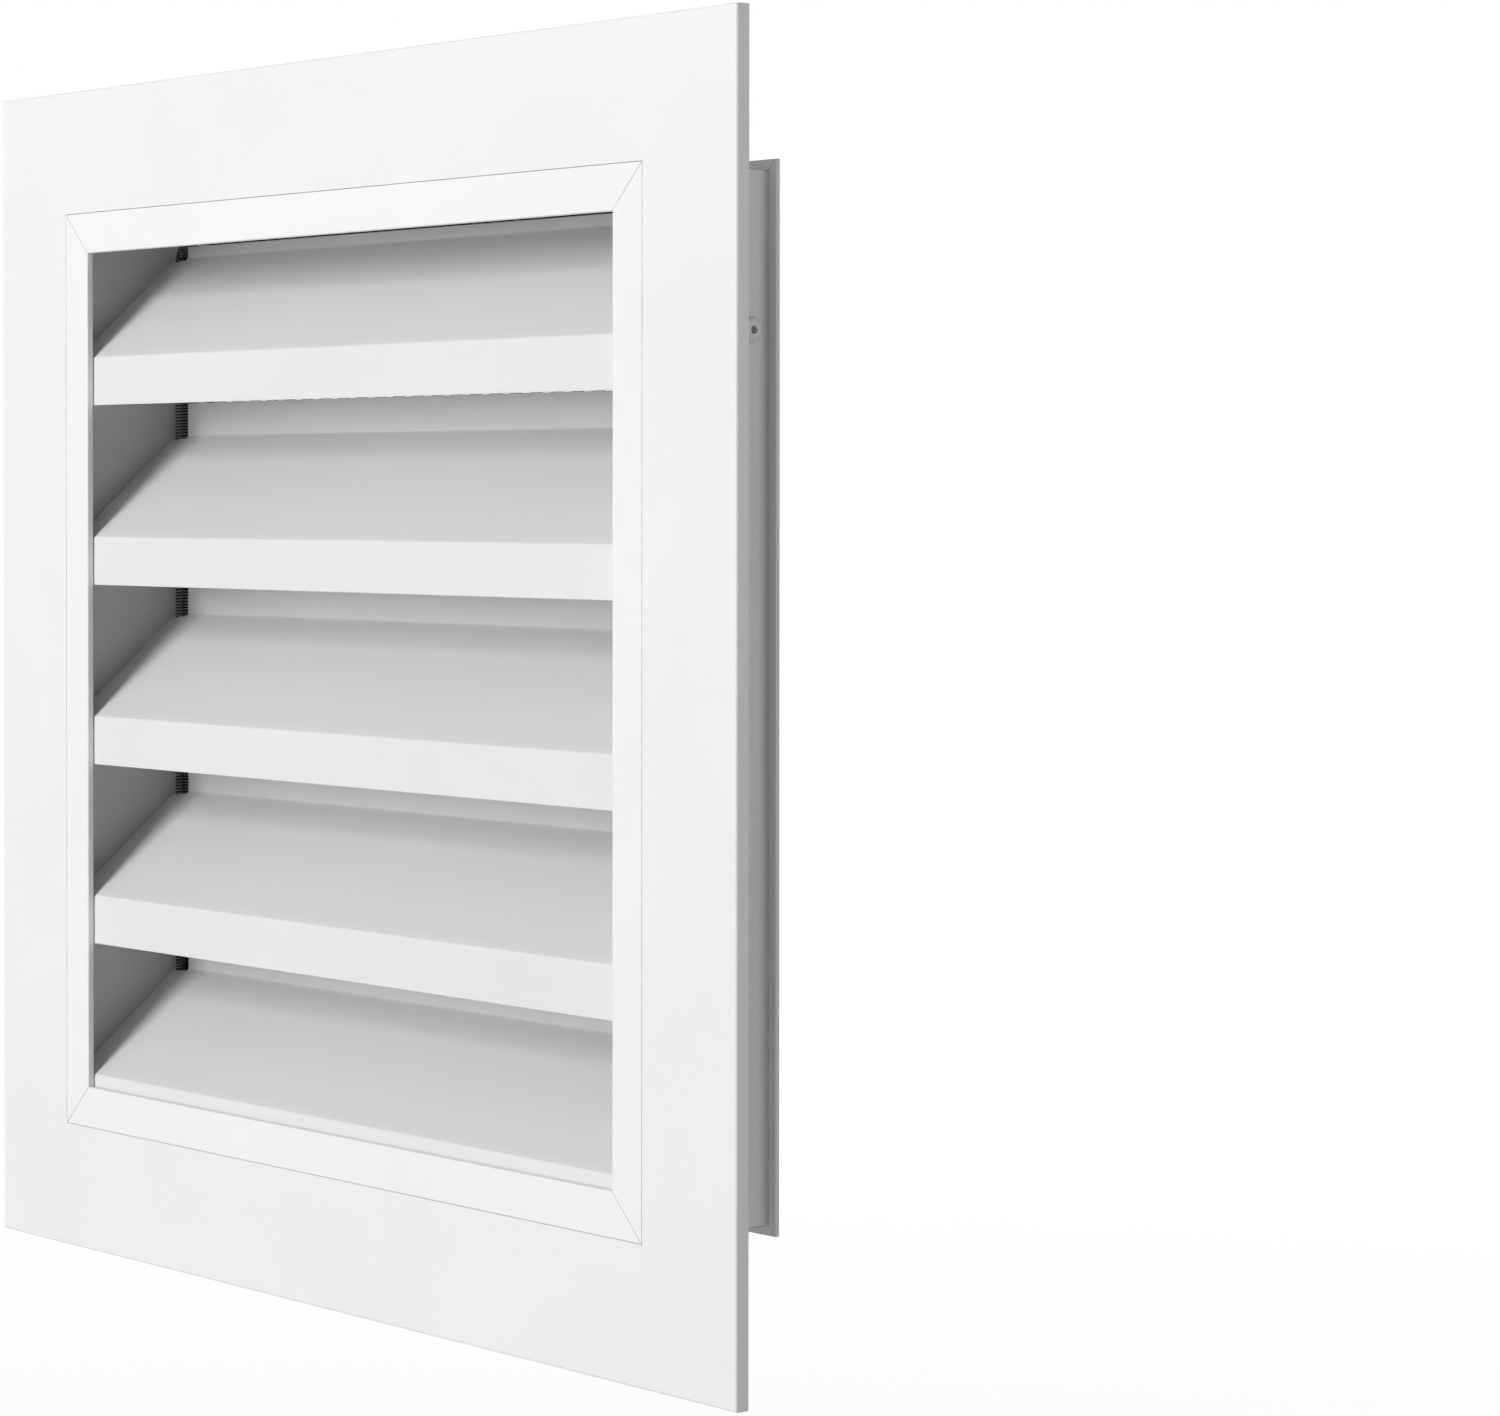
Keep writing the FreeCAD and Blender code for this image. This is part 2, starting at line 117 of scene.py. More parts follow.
finishes = {
    # deep: painted shade, a darker colour that fades in behind the front face between the two depths in mm that
    # follow it;
    # inside: still darker painted shade on the duct's inner walls, within insideHalf of its middle; edge: radius of
    # the softened edges in mm.
    "plate": {
        "colour": (0.90, 0.90, 0.902), "shade": (0.875, 0.875, 0.878), "rough": 0.42,
        "peel": 700, "depth": 0.012, "edge": 0.3,
    },
    "sleeve": {
        "colour": (0.925, 0.925, 0.927), "shade": (0.90, 0.90, 0.903), "rough": 0.38,
        # Painted shade: darker behind the front lip, and darker still on the duct's inner walls.
        "peel": 1100, "depth": 0.006, "edge": 0.3, "deep": (0.69, 0.69, 0.693), "deepFrom": -3.2, "deepTo": 1.5,
        "inside": (0.56, 0.56, 0.563), "insideHalf": 151.5,
    },
    "louvre": {
        "colour": (0.83, 0.83, 0.832), "shade": (0.81, 0.81, 0.813), "rough": 0.40,
        # Painted shade: the slopes and upstands behind the nose are darker.
        "peel": 1100, "depth": 0.006, "edge": 0.4, "deep": (0.79, 0.79, 0.793), "deepFrom": -1.7, "deepTo": 1.0,
    },
    "tab": {
        "colour": (0.90, 0.90, 0.902), "shade": (0.87, 0.87, 0.873), "rough": 0.36,
        "peel": 1400, "depth": 0.006, "edge": 0.2,
    },
    "fastener": {
        "colour": (0.70, 0.70, 0.695), "shade": (0.62, 0.62, 0.615), "rough": 0.32,
        "peel": 1800, "depth": 0.004, "edge": 0.15,
    },
}


def coatAndPaintedShade(name):
    # A satin coat: faint clouding of tone and gloss, a fine orange peel and softened edges; on the sleeve and
    # louvres also painted shade, darker behind the front face.
    look = finishes[name]
    paint = Paint(name + "Coat")
    clouds = paint.noise(14, 3)
    grain = paint.noise(look["peel"], 2)
    tone = paint.spread(clouds * 0.75 + grain * 0.25, 0.35, 0.65, 0, 1)
    colour = paint.blend(tone, look["shade"], look["colour"])
    # Painted shade: the colour turns darker behind the front face, and darker still inside the duct.
    if "deep" in look:
        across, depth, height = (paint.node("ShaderNodeSeparateXYZ", {}, {0: paint.place()}, axis) for axis in "XYZ")
        paintedShadeColour = look["deep"]
        if "inside" in look:
            out = across.maths("ABSOLUTE", across, 0)
            out = out.maths("MAXIMUM", out, height.maths("ABSOLUTE", height, 0))
            paintedShadeColour = paint.blend(out.maths("LESS_THAN", out, look["insideHalf"] * mm), paintedShadeColour, look["inside"])
        colour = paint.blend(paint.spread(depth, look["deepFrom"] * mm, look["deepTo"] * mm, 0, 1), colour, paintedShadeColour)
    softened = paint.node("ShaderNodeBevel", {"samples": 4}, {"Radius": look["edge"] * mm})
    return paint.wear(
        Base_Color=colour,
        Roughness=paint.spread(clouds, 0.35, 0.65, look["rough"] - 0.03, look["rough"] + 0.04),
        Normal=paint.node("ShaderNodeBump", {}, {
            "Height": grain, "Distance": look["depth"] * mm, "Normal": softened,
        }),
    )


def screenFinish():
    # Glossy black dip coat on the mesh.
    paint = Paint("screenCoat")
    clouds = paint.noise(60, 2)
    return paint.wear(
        Base_Color=paint.blend(clouds, (0.004, 0.004, 0.004), (0.008, 0.008, 0.009)),
        Roughness=paint.spread(clouds, 0.3, 0.7, 0.2, 0.3),
        Normal=paint.bump(paint.noise(900, 2), 0.02 * mm),
    )


coats = {name: coatAndPaintedShade(name) for name in finishes}
coats["screen"] = screenFinish()
coatOf = {"face_plate": "plate"}
for name in nodes:
    if name.startswith("duct_rail"):
        coatOf[name] = "sleeve"
    elif name.startswith("louvre_screws") or name.startswith("tab_rivet"):
        coatOf[name] = "fastener"
    elif name.startswith("louvre"):
        coatOf[name] = "louvre"
    elif name.startswith("mounting_tab"):
        coatOf[name] = "tab"
    elif name == "insect_screen":
        coatOf[name] = "screen"
for name, coat in coatOf.items():
    nodes[name].data.materials.clear()
    nodes[name].data.materials.append(coats[coat])
print("gable vent: finishes made")


# Helpers for the meshes.

def finishPiece(name, bm, coat, replaced, smooth=False):
    # One finished piece, in the place of the node that it replaces.
    mesh = bpy.data.meshes.new(name)
    bm.to_mesh(mesh)
    bm.free()
    mesh.materials.append(coats[coat])
    if smooth:
        mesh.polygons.foreach_set("use_smooth", [True] * len(mesh.polygons))
    piece = bpy.data.objects.new(name, mesh)
    scene.collection.objects.link(piece)
    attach(piece, "root")
    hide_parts(replaced)
    return piece


def addBar(bm, centre, size, tilt=0):
    # A square bar, tilted about its own length along X.
    turned = Matrix.Translation(centre) @ Matrix.Rotation(tilt, 4, "X") @ Matrix.Diagonal((*size, 1))
    return bmesh.ops.create_cube(bm, size=1, matrix=turned)["verts"]


def repeatAlong(bm, firstVert, firstFace, step, count):
    # Copies everything made since the two marks, until there is a row of that many.
    bm.verts.ensure_lookup_table()
    bm.faces.ensure_lookup_table()
    unitVerts = len(bm.verts) - firstVert
    unitFaces = len(bm.faces) - firstFace
    made = 1
    while made < count:
        take = min(made, count - made)
        verts = bm.verts[firstVert:firstVert + take * unitVerts]
        faces = bm.faces[firstFace:firstFace + take * unitFaces]
        fresh = bmesh.ops.duplicate(bm, geom=verts + faces)["geom"]
        moved = [part for part in fresh if isinstance(part, bmesh.types.BMVert)]
        bmesh.ops.translate(bm, verts=moved, vec=Vector(step) * made)
        made += take
        bm.verts.ensure_lookup_table()
        bm.faces.ensure_lookup_table()


# The louvres, with the nose close behind the front lip of the sleeve. Depths in mm from the wall plane.
louvre = {
    "noseEnd": 7.0,          # the blade in front of this depth is its nose
    "forward": 7.5,          # how much nearer the nose stands
    "viewFrom": (-757.7, 58.5),  # depth and height of the eye that the nose moves towards
    "slopeEnd": 33.0,        # behind this depth the blade's rear corner begins
    "underside": (6.6, 37.84),
    "port": (5.5, 6.6),      # the rib in front of the front screws
    "portEnds": (142.4, 150.35),
    "floorEdge": -150.0,     # what lies lower rests on the bottom rail and keeps its height
}


def makeLouvre(node, name):
    # Moves the nose, draws the slope to it and closes the port of the front screws again.
    bm = bmesh.new()
    bm.from_mesh(nodes[node].data)
    bm.transform(nodes[node].matrix_world)
    bmesh.ops.remove_doubles(bm, verts=bm.verts, dist=0.001 * mm)
    front, rear = (depth * mm for depth in louvre["underside"])
    near = [vert for vert in bm.verts if vert.co.y < louvre["noseEnd"] * mm]
    underFront = max(vert.co.z for vert in near if abs(vert.co.y - front) < 0.02 * mm)
    underRear = min(vert.co.z for vert in bm.verts if abs(vert.co.y - rear) < 0.02 * mm)
    steep = (underRear - underFront) / (rear - front)
    portLow = min(vert.co.z for vert in bm.verts if 9 * mm < vert.co.y < 12 * mm)
    seenY, seenZ = (value * mm for value in louvre["viewFrom"])
    forward = louvre["forward"] * mm

    def nearer(y, z):
        return y - forward, z + (seenZ - z) * forward / (y - seenY)

    newFront, newUnder = nearer(front, underFront)
    slope = (underRear - newUnder) / (rear - newFront)
    for vert in bm.verts:
        y, z = vert.co.y, vert.co.z
        if y < louvre["noseEnd"] * mm:
            vert.co.y, raised = nearer(y, z)
            vert.co.z = z if z < louvre["floorEdge"] * mm else raised
        elif y < louvre["slopeEnd"] * mm and abs(z - underFront - (y - front) * steep) < 0.1 * mm:
            vert.co.z = newUnder + (y - newFront) * slope
    for side in (-1, 1):
        inner, outer = louvre["portEnds"]
        low, high = louvre["port"]
        top = newUnder + (low * mm - newFront) * slope + 0.3 * mm
        addBar(
            bm, (side * (inner + outer) / 2 * mm, (low + high) / 2 * mm, (portLow + top) / 2),
            ((outer - inner) * mm, (high - low) * mm, top - portLow),
        )
    bmesh.ops.recalc_face_normals(bm, faces=bm.faces)
    return finishPiece(name, bm, "louvre", node)


for number in range(1, 6):
    makeLouvre(f"louvre_{number}", f"louvreBlade{number}")
print("gable vent: louvres made")

# The insect screen is expanded mesh with its edge folded forward.

screen = {
    "half": 149.3,          # half width over the fold, mm
    "backY": 42.85,         # middle of the flat panel
    "flapY": 38.75,         # middle of the folded flap
    "flapColumns": 4,
    "corner": 13.0,
    "columns": 58,
    "pitch": 1.03,          # from one strand to the next
    "strand": (0.50, 0.24), # width and thickness of a strand
    "bond": 0.50,
    "tilt": 28,             # degrees that the strands lean
    "bendRadius": 0.8,
    "bendSteps": 4,
    "bulge": 36.0,          # foremost depth of the fold at the sides
    "bulgeRadius": 1.6,
    "bulgeTurn": 45,        # degrees that it turns back before it meets the flap
}
screen["fold"] = screen["half"] - screen["bendRadius"] - screen["strand"][1] / 2
screen["column"] = 2 * screen["fold"] / screen["columns"]
screen["cornerMiddle"] = screen["half"] - screen["corner"]


def clipCorners(bm):
    # Draws what lies past the rounded corners in to them, and takes out what has no length left.
    middle = screen["cornerMiddle"] * mm
    reach = (screen["fold"] - screen["cornerMiddle"]) * mm
    for vert in bm.verts:
        past = abs(vert.co.z) - middle
        if past > 0:
            limit = middle + math.sqrt(max(reach ** 2 - past ** 2, 0))
            if abs(vert.co.x) > limit:
                vert.co.x = math.copysign(limit, vert.co.x)
                vert.tag = True
    lost = [face for face in bm.faces if all(vert.tag for vert in face.verts) and face.calc_area() < 1e-12]
    bmesh.ops.delete(bm, geom=lost, context="FACES")


def addLattice(bm, firstX, pairs, low, rows, y, first=-1):
    # Pairs of columns of strands, each with its bond. The second column stands half a pitch higher.
    width, gauge = screen["strand"]
    unit = len(bm.verts), len(bm.faces)
    for number, shift in enumerate((0.25 * first, -0.25 * first)):
        middle = firstX + (number + 0.5) * screen["column"]
        marks = len(bm.verts), len(bm.faces)
        addBar(
            bm, (middle * mm, y * mm, (low + (0.5 + shift) * screen["pitch"]) * mm),
            ((screen["column"] - 0.1) * mm, gauge * mm, width * mm), math.radians(screen["tilt"]),
        )
        repeatAlong(bm, *marks, (0, 0, screen["pitch"] * mm), rows)
        tall = rows * screen["pitch"]
        addBar(
            bm, ((firstX + number * screen["column"]) * mm, y * mm, (low + tall / 2) * mm),
            (screen["bond"] * mm, gauge * mm, tall * mm),
        )
    repeatAlong(bm, *unit, (2 * screen["column"] * mm, 0, 0), pairs)


def makePanel(name, firstColumn, pairs):
    bm = bmesh.new()
    rows = int(2 * screen["fold"] / screen["pitch"])
    firstX = firstColumn * screen["column"] - screen["fold"]
    addLattice(bm, firstX, pairs, -rows * screen["pitch"] / 2, rows, screen["backY"])
    clipCorners(bm)
    return finishPiece(name, bm, "screen", "insect_screen", True)


def makeFlaps():
    bm = bmesh.new()
    tall = int(2 * screen["fold"] / screen["pitch"])
    sidePairs = screen["flapColumns"] // 2
    inner = screen["fold"] - screen["flapColumns"] * screen["column"]
    for firstX in (-screen["fold"], inner):
        addLattice(bm, firstX, sidePairs, -tall * screen["pitch"] / 2, tall, screen["flapY"], 1)
    rows = int(screen["flapColumns"] * screen["column"] / screen["pitch"])
    pairs = screen["columns"] // 2 - 2 * sidePairs
    for low in (-screen["fold"], screen["fold"] - rows * screen["pitch"]):
        addLattice(bm, -inner, pairs, low, rows, screen["flapY"], 1)
    clipCorners(bm)
    return finishPiece("screenFlaps", bm, "screen", "insect_screen", True)


def addFoldedStrand(bm):
    # One strand bent round the fold of the right edge, at the height of zero.
    width, gauge = screen["strand"]
    radius = screen["bendRadius"]
    flat = bmesh.ops.create_grid(bm, x_segments=1, y_segments=1, size=0.5)["verts"]
    bmesh.ops.scale(bm, verts=flat, vec=(gauge * mm, width * mm, 1))
    bmesh.ops.rotate(bm, verts=flat, cent=(0, 0, 0), matrix=Matrix.Rotation(math.pi / 2, 3, "X"))
    bmesh.ops.rotate(bm, verts=flat, cent=(0, 0, 0), matrix=Matrix.Rotation(math.pi / 2, 3, "Z"))
    bmesh.ops.translate(bm, verts=flat, vec=(screen["fold"] * mm, screen["backY"] * mm, 0))
    face = flat[0].link_faces[0]
    end = flat + list(face.edges) + [face]
    outer = screen["fold"] + radius
    front = screen["bulgeRadius"]
    back = math.radians(screen["bulgeTurn"])
    reach = screen["flapY"] - screen["bulge"] - front * (1 - math.cos(back))
    bends = (
        # Radius, middle in depth, turn, and the straight run after it.
        (radius, screen["backY"] - radius, math.pi / 2, (0, screen["bulge"] + front - screen["backY"] + radius)),
        (front, screen["bulge"] + front, math.pi / 2 + back, (-reach / math.tan(back), reach)),
    )
    for bend, middleY, turn, (across, deep) in bends:
        end = bmesh.ops.spin(
            bm, geom=end, cent=((outer - bend) * mm, middleY * mm, 0), axis=(0, 0, -1), angle=turn,
            steps=round(turn / (math.pi / 2) * screen["bendSteps"]), use_merge=False,
        )["geom_last"]
        end = bmesh.ops.extrude_face_region(bm, geom=end)["geom"]
        moved = [part for part in end if isinstance(part, bmesh.types.BMVert)]
        bmesh.ops.translate(bm, verts=moved, vec=(across * mm, deep * mm, 0))


def foldPoint(along):
    # Place and lean of a strand at this distance round the fold's section, from back to front.
    radius = screen["bendRadius"]
    bend = radius * math.pi / 2
    run = screen["backY"] - screen["flapY"] - 2 * radius
    if along < bend:
        lean = along / radius
        return screen["backY"] - radius + radius * math.cos(lean), screen["fold"] + radius * math.sin(lean), lean
    if along < bend + run:
        return screen["backY"] - radius - (along - bend), screen["fold"] + radius, math.pi / 2
    lean = math.pi / 2 + (along - bend - run) / radius
    return screen["flapY"] + radius + radius * math.cos(lean), screen["fold"] + radius * math.sin(lean), lean


def makeFold():
    bm = bmesh.new()
    rows = int(2 * screen["cornerMiddle"] / screen["pitch"])
    addFoldedStrand(bm)
    bmesh.ops.translate(bm, verts=bm.verts, vec=(0, 0, -(rows - 1) * screen["pitch"] / 2 * mm))
    repeatAlong(bm, 0, 0, (0, 0, screen["pitch"] * mm), rows)
    sides = list(bm.verts) + list(bm.faces)
    across = bmesh.ops.duplicate(bm, geom=sides)["geom"]
    turned = [part for part in across if isinstance(part, bmesh.types.BMVert)]
    bmesh.ops.rotate(bm, verts=turned, cent=(0, 0, 0), matrix=Matrix.Rotation(math.pi, 3, "Y"))
    # The strands fan out round the corners.
    steps = int(screen["corner"] * math.pi / 2 / screen["pitch"])
    middle = screen["cornerMiddle"] * mm
    for corner in range(4):
        for step in range(steps + 1):
            first = len(bm.verts)
            addFoldedStrand(bm)
            bm.verts.ensure_lookup_table()
            fresh = bm.verts[first:]
            bmesh.ops.translate(bm, verts=fresh, vec=(0, 0, middle))
            lean = -math.pi / 2 * step / steps
            bmesh.ops.rotate(bm, verts=fresh, cent=(middle, 0, middle), matrix=Matrix.Rotation(lean, 3, "Y"))
            bmesh.ops.rotate(bm, verts=fresh, cent=(0, 0, 0), matrix=Matrix.Rotation(corner * math.pi / 2, 3, "Y"))
    # Along the top and bottom the strands run with the fold.
    width, gauge = screen["strand"]
    length = math.pi * screen["bendRadius"] + screen["backY"] - screen["flapY"] - 2 * screen["bendRadius"]
    arcs = int(length / screen["pitch"])
    count = 2 * int(screen["cornerMiddle"] / screen["column"])
    for side in (-1, 1):
        unit = len(bm.verts), len(bm.faces)
        for number, shift in enumerate((-0.25, 0.25)):
            x = (number + 0.5 - count / 2) * screen["column"]
            for arc in range(arcs):
                y, rise, lean = foldPoint(length * (arc + 0.5 + shift) / arcs)
                addBar(
                    bm, (x * mm, y * mm, side * rise * mm), ((screen["column"] - 0.1) * mm, gauge * mm, width * mm),
                    side * (math.radians(screen["tilt"]) - lean),
                )
        repeatAlong(bm, *unit, (2 * screen["column"] * mm, 0, 0), count // 2)
    return finishPiece("screenFold", bm, "screen", "insect_screen", True)


leftPairs = screen["columns"] // 4
rightPairs = screen["columns"] // 2 - leftPairs
makePanel("screenPanelLeft", 0, leftPairs)
makePanel("screenPanelRight", 2 * leftPairs, rightPairs)
makeFlaps()
makeFold()
print("gable vent: insect screen made")


# The louvre screws have pan heads with a cross recess, and the tab rivets a round bore.

screw = {
    "radius": 3.9,
    "height": 2.5,
    "length": 13.0,
    "root": 1.25,
    "thread": 1.5,
    "threadPitch": 1.0,
    "crossSpan": 4.6,
    "crossWidth": 1.05,
    "crossDepth": 1.5,
    "crossTaper": 0.55,
    "tip": 2.0,          # length of the pointed end
    "rimEdge": 0.15,
    "rim": 0.7,          # height of the straight rim of the head
    "crown": 0.42,       # share of the radius that the top of the head keeps
    "count": 5,          # screws in a column
    "firstTurn": 11,     # degrees that the cross stands turned
    "nextTurn": 37,
    "rearTurn": 20,
}
rivet = {
    "radius": 3.8,
    "height": 1.5,
    "rim": 0.45,         # height of the straight rim of the head
    "crown": 2.0,        # radius of the flat top of the head
    "bore": 1.15,
    "boreDepth": 1.7,
    "shank": 2.0,
    "tail": 2.3,
    "tailLength": 2.0,
    "seat": 1.0,         # thickness of the tab under the tail
}
wallOut, wallIn = 152.5, 150.5


def addTurned(bm, outline, steps=40):
    # Turns a half outline of (distance along X, radius) about the X axis.
    spots = [bm.verts.new((along * mm, 0, radius * mm)) for along, radius in outline]
    edges = [bm.edges.new(pair) for pair in zip(spots, spots[1:])]
    bmesh.ops.spin(
        bm, geom=spots + edges, cent=(0, 0, 0), axis=(1, 0, 0), angle=2 * math.pi, steps=steps, use_merge=True,
    )
    bmesh.ops.remove_doubles(bm, verts=bm.verts, dist=0.0005 * mm)
    bmesh.ops.recalc_face_normals(bm, faces=bm.faces)


def cutCross(piece, far):
    # Sinks a tapered cross into the top of the head.
    cutter = bmesh.new()
    for turn in (0, math.pi / 2):
        first = len(cutter.verts)
        top = far + 0.5
        deep = far - screw["crossDepth"]
        spun = Matrix.Rotation(turn, 4, "X")
        placed = Matrix.Translation(((top + deep) / 2 * mm, 0, 0))
        sized = Matrix.Diagonal(((top - deep) * mm, screw["crossWidth"] * mm, screw["crossSpan"] * mm, 1))
        bmesh.ops.create_cube(cutter, size=1, matrix=spun @ placed @ sized)
        cutter.verts.ensure_lookup_table()
        low = [vert for vert in cutter.verts[first:] if vert.co.x < (top + deep) / 2 * mm]
        bmesh.ops.scale(cutter, verts=low, vec=(1, screw["crossTaper"], screw["crossTaper"]))
    mesh = bpy.data.meshes.new("crossCutter")
    cutter.to_mesh(mesh)
    cutter.free()
    tool = bpy.data.objects.new("crossCutter", mesh)
    scene.collection.objects.link(tool)
    cut = piece.modifiers.new("cross", "BOOLEAN")
    cut.operation = "DIFFERENCE"
    cut.solver = "EXACT"
    cut.use_self = True
    cut.object = tool
    bpy.context.view_layer.update()
    done = bpy.data.meshes.new_from_object(piece.evaluated_get(bpy.context.evaluated_depsgraph_get()))
    bpy.data.objects.remove(piece)
    bpy.data.objects.remove(tool)
    return done


def screwMesh():
    far = wallOut + screw["height"]
    rim, edge, crown = screw["rim"], screw["rimEdge"], screw["crown"]
    tip = wallOut - screw["length"]
    outline = [(tip, 0), (tip + screw["tip"], screw["root"])]
    turns = int((screw["length"] - 2 * screw["tip"]) / screw["threadPitch"])
    for turn in range(turns):
        start = tip + screw["tip"] + turn * screw["threadPitch"]
        outline += [(start + 0.35, screw["root"]), (start + 0.5, screw["thread"]), (start + 0.65, screw["root"])]
    outline += [(wallOut, screw["root"]), (wallOut, screw["radius"] - edge), (wallOut + edge, screw["radius"])]
    for step in range(7):
        lean = math.pi / 2 * step / 6
        outline.append((
            wallOut + rim + (screw["height"] - rim) * math.sin(lean),
            screw["radius"] * (crown + (1 - crown) * math.cos(lean)),
        ))
    outline.append((far, 0))
    bm = bmesh.new()
    addTurned(bm, outline)
    mesh = bpy.data.meshes.new("screwBlank")
    bm.to_mesh(mesh)
    bm.free()
    blank = bpy.data.objects.new("screwBlank", mesh)
    scene.collection.objects.link(blank)
    return cutCross(blank, far)


def rivetMesh():
    far = wallOut + rivet["height"]
    seat = wallIn - rivet["seat"]
    end = seat - rivet["tailLength"]
    outline = [
        (end, 0),
        (end, rivet["tail"] - 0.5),
        (end + 0.4, rivet["tail"]),
        (seat, rivet["tail"]),
        (seat, rivet["shank"]),
        (wallOut, rivet["shank"]),
        (wallOut, rivet["radius"] - 0.1),
        (wallOut + 0.1, rivet["radius"]),
        (wallOut + rivet["rim"], rivet["radius"]),
    ]
    for step in range(1, 6):
        lean = math.pi / 2 * step / 5
        outline.append((
            wallOut + rivet["rim"] + (rivet["height"] - rivet["rim"]) * math.sin(lean),
            rivet["radius"] - (rivet["radius"] - rivet["crown"]) * (1 - math.cos(lean)),
        ))
    outline += [
        (far, rivet["bore"] + 0.15),
        (far - 0.15, rivet["bore"]),
        (far - rivet["boreDepth"], rivet["bore"]),
        (far - rivet["boreDepth"] + 0.2, rivet["bore"] * 0.6),
        (far - rivet["boreDepth"] + 0.2, 0),
    ]
    bm = bmesh.new()
    addTurned(bm, outline)
    mesh = bpy.data.meshes.new("rivetBlank")
    bm.to_mesh(mesh)
    bm.free()
    return mesh


def smoothByAngle(mesh, degrees=35):
    # Soft shading over the dome and hard edges elsewhere.
    bm = bmesh.new()
    bm.from_mesh(mesh)
    for face in bm.faces:
        face.smooth = True
    for edge in bm.edges:
        edge.smooth = len(edge.link_faces) == 2 and edge.calc_face_angle(0) < math.radians(degrees)
    bm.to_mesh(mesh)
    bm.free()


screwBlank = screwMesh()
for side, sign in (("left", -1), ("right", 1)):
    for column in ("front", "rear"):
        node = f"louvre_screws_{side}_{column}"
        low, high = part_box(node)
        bm = bmesh.new()
        top = high.z - screw["radius"] * mm
        bottom = low.z + screw["radius"] * mm
        for number in range(screw["count"]):
            first = len(bm.verts)
            bm.from_mesh(screwBlank)
            bm.verts.ensure_lookup_table()
            fresh = bm.verts[first:]
            turn = math.radians(screw["firstTurn"] + screw["nextTurn"] * number)
            if column == "rear":
                turn += math.radians(screw["rearTurn"])
            bmesh.ops.rotate(bm, verts=fresh, cent=(0, 0, 0), matrix=Matrix.Rotation(turn, 3, "X"))
            if sign < 0:
                bmesh.ops.rotate(bm, verts=fresh, cent=(0, 0, 0), matrix=Matrix.Rotation(math.pi, 3, "Z"))
            level = top + (bottom - top) * number / (screw["count"] - 1)
            bmesh.ops.translate(bm, verts=fresh, vec=(0, (low.y + high.y) / 2, level))
        name = f"louvreScrews{side.capitalize()}{column.capitalize()}"
        piece = finishPiece(name, bm, "fastener", node)
        smoothByAngle(piece.data)

rivetBlank = rivetMesh()
for side in ("left", "right", "bottom"):
    node = f"tab_rivet_{side}"
    low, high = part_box(node)
    middle = (low + high) / 2
    bm = bmesh.new()
    bm.from_mesh(rivetBlank)
    if side == "bottom":
        bmesh.ops.rotate(bm, verts=bm.verts, cent=(0, 0, 0), matrix=Matrix.Rotation(math.pi / 2, 3, "Y"))
        spot = (middle.x, middle.y, 0)
    elif side == "left":
        bmesh.ops.rotate(bm, verts=bm.verts, cent=(0, 0, 0), matrix=Matrix.Rotation(math.pi, 3, "Z"))
        spot = (0, middle.y, middle.z)
    else:
        spot = (0, middle.y, middle.z)
    bmesh.ops.translate(bm, verts=bm.verts, vec=spot)
    piece = finishPiece(f"tabRivet{side.capitalize()}", bm, "fastener", node)
    smoothByAngle(piece.data)
print("gable vent: fasteners made")


# The camera of the photograph.

camera = {
    "place": (1.07280, -0.75772, 0.05854),
    "yaw": 49.234,
    "pitch": 0.734,
    "roll": 0.04,
    "focalPixels": 4226.8,
    "imageWidth": 1500,
    "middleRow": 708,
    "horizonRow": 549.75,
}
eye = bpy.data.cameras.new("photoCamera")
eye.sensor_width = 36
eye.lens = camera["focalPixels"] / camera["imageWidth"] * eye.sensor_width
eye.shift_y = (camera["horizonRow"] - camera["middleRow"]) / camera["imageWidth"]
eye.clip_start = 0.05
eye.clip_end = 50
viewer = bpy.data.objects.new("photoCamera", eye)
turned = (
    Matrix.Rotation(math.radians(camera["yaw"]), 4, "Z")
    @ Matrix.Rotation(math.radians(90 - camera["pitch"]), 4, "X")
    @ Matrix.Rotation(math.radians(camera["roll"]), 4, "Z")
)
viewer.matrix_world = Matrix.Translation(camera["place"]) @ turned
scene.collection.objects.link(viewer)
scene.camera = viewer


# The floor, the backdrop and the light.

studio = {
    "floorLevel": -0.42,
    "floorSize": 60.0,
    "floorColour": (0.8, 0.8, 0.8),
    "floorGlow": 0.9,            # how much of the near floor is plain white
    "shadowReach": (0.6, 1.6),   # metres from the vent's middle
    "ambient": 0.05,
}
lamps = {
    # name: bearing from the front, height angle, distance in metres, width, height, watts
    "front": (-3, 16, 4.0, 1.45, 2.6, 111),
    "high": (-10, 50, 2.6, 2.3, 2.3, 12.5),
    "side": (125, 15, 2.2, 1.6, 1.6, 10),
    "behind": (-143, 20, 2.8, 1.8, 1.8, 30),
}


def paleFloor():
    # Seen as plain white, apart from a part of the shadow close to the vent.
    paint = Paint("paleFloor")
    paint.wear(Base_Color=studio["floorColour"], Roughness=0.9)
    path = paint.tree.nodes.new("ShaderNodeLightPath")
    away = paint.node("ShaderNodeVectorMath", {"operation": "LENGTH"}, {0: paint.place()}, "Value")
    plain = paint.spread(away, *studio["shadowReach"], studio["floorGlow"], 1)
    seen = Wire(paint, path.outputs["Is Camera Ray"]) * plain
    amount = seen.maths("MAXIMUM", seen, Wire(paint, path.outputs["Is Glossy Ray"]) * 0.5)
    glow = paint.node("ShaderNodeEmission", {}, {"Color": (1, 1, 1)})
    mixed = paint.node("ShaderNodeMixShader", {}, {0: amount, 1: Wire(paint, paint.shader.outputs[0]), 2: glow})
    paint.feed(paint.tree.nodes["Material Output"].inputs["Surface"], mixed)
    return paint.material


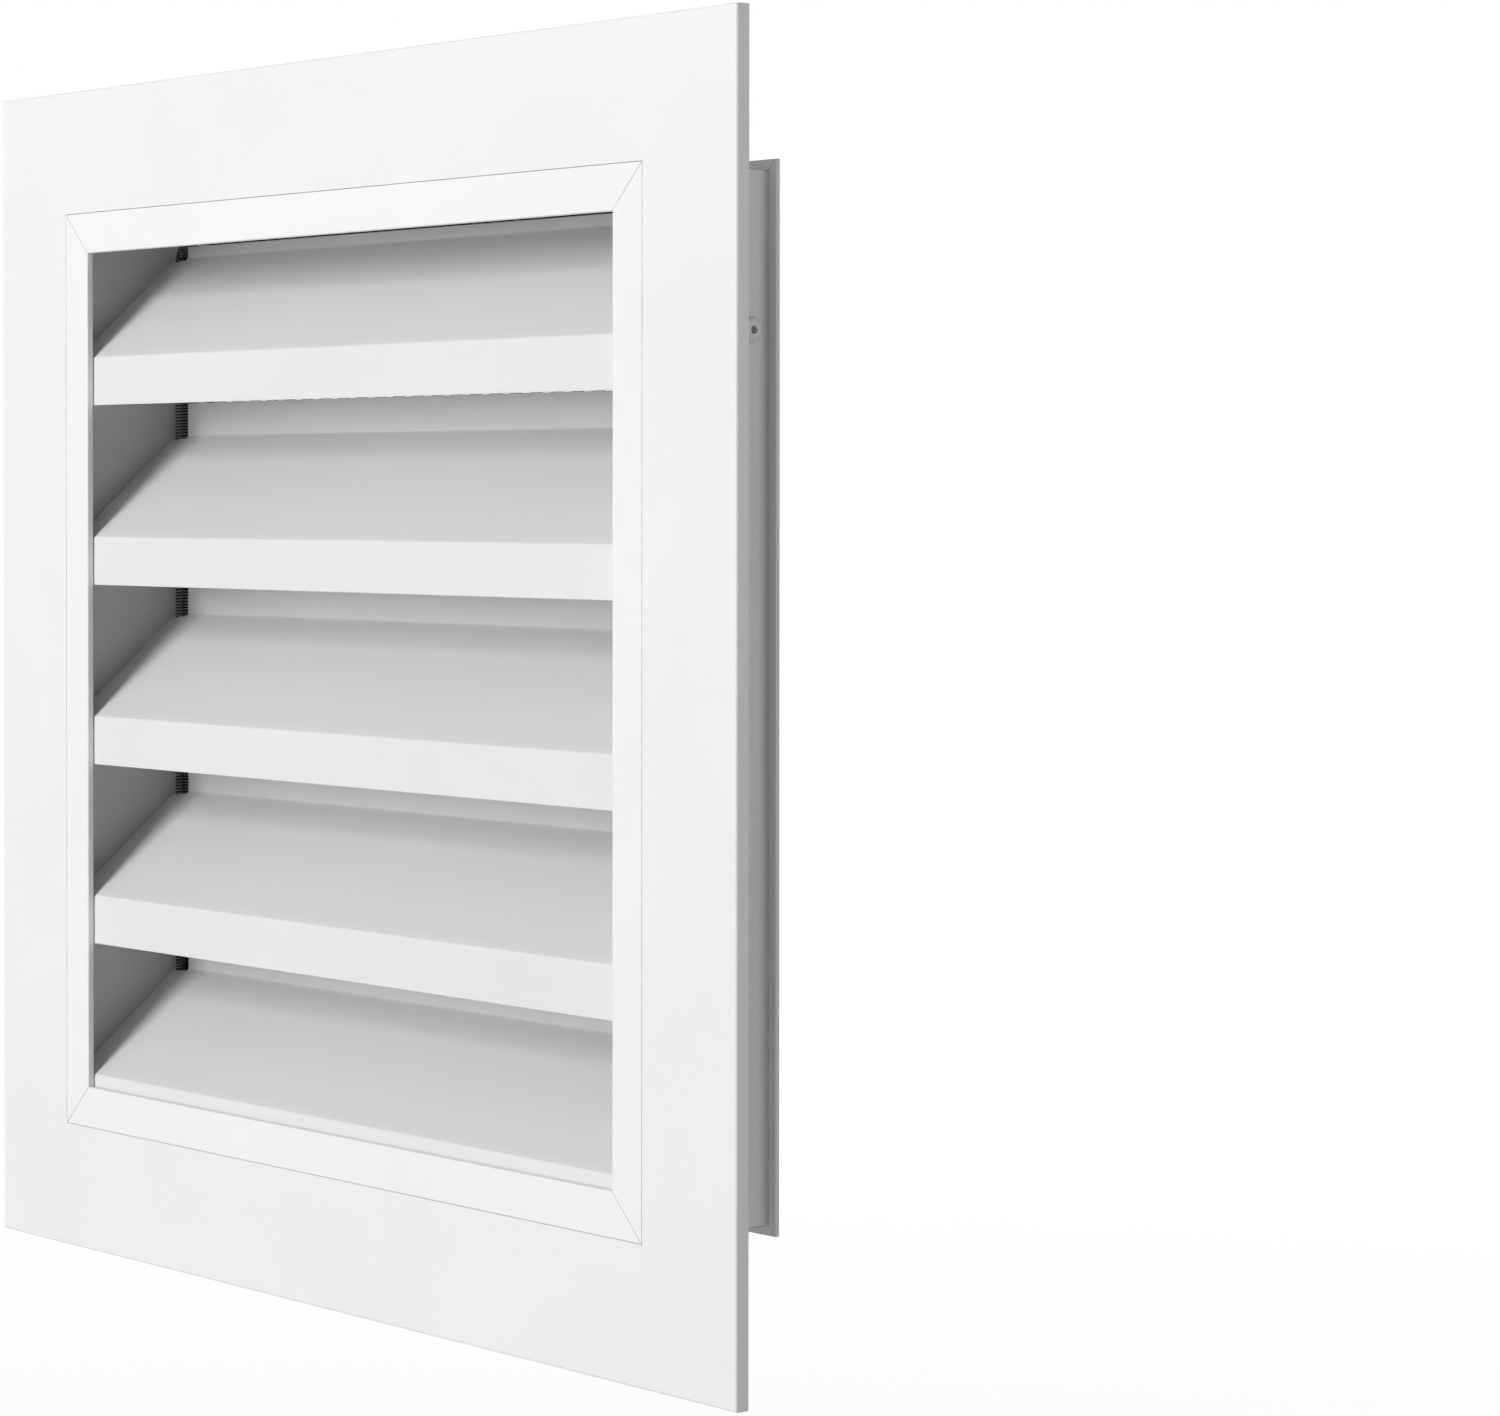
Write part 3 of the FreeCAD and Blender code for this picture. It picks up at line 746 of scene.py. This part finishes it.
bm = bmesh.new()
bmesh.ops.create_grid(bm, x_segments=1, y_segments=1, size=studio["floorSize"] / 2)
bmesh.ops.translate(bm, verts=bm.verts, vec=(0, 0, studio["floorLevel"]))
mesh = bpy.data.meshes.new("floor")
bm.to_mesh(mesh)
bm.free()
mesh.materials.append(paleFloor())
floor = bpy.data.objects.new("floor", mesh)
scene.collection.objects.link(floor)

for name, (bearing, height, distance, width, tall, watts) in lamps.items():
    light = bpy.data.lights.new(name, "AREA")
    light.shape = "RECTANGLE"
    light.size = width
    light.size_y = tall
    light.energy = watts
    lamp = bpy.data.objects.new(name, light)
    turned = Matrix.Rotation(math.radians(bearing), 4, "Z") @ Matrix.Rotation(math.radians(90 - height), 4, "X")
    lamp.matrix_world = turned @ Matrix.Translation((0, 0, distance))
    scene.collection.objects.link(lamp)

world = bpy.data.worlds.new("studio")
world.use_nodes = True
scene.world = world
tree = world.node_tree
around = tree.nodes["Background"]
around.inputs["Color"].default_value = (1, 1, 1, 1)
around.inputs["Strength"].default_value = studio["ambient"]
backdrop = tree.nodes.new("ShaderNodeBackground")
backdrop.inputs["Color"].default_value = (1, 1, 1, 1)
backdrop.inputs["Strength"].default_value = 1
path = tree.nodes.new("ShaderNodeLightPath")
seen = tree.nodes.new("ShaderNodeMath")
seen.operation = "MAXIMUM"
tree.links.new(path.outputs["Is Camera Ray"], seen.inputs[0])
tree.links.new(path.outputs["Is Glossy Ray"], seen.inputs[1])
clear = tree.nodes.new("ShaderNodeMath")
clear.operation = "MAXIMUM"
tree.links.new(seen.outputs[0], clear.inputs[0])
tree.links.new(path.outputs["Is Transmission Ray"], clear.inputs[1])
mixed = tree.nodes.new("ShaderNodeMixShader")
tree.links.new(clear.outputs[0], mixed.inputs[0])
tree.links.new(around.outputs[0], mixed.inputs[1])
tree.links.new(backdrop.outputs[0], mixed.inputs[2])
tree.links.new(mixed.outputs[0], tree.nodes["World Output"].inputs["Surface"])

scene.view_settings.view_transform = "Standard"
print("gable vent: camera and studio set")
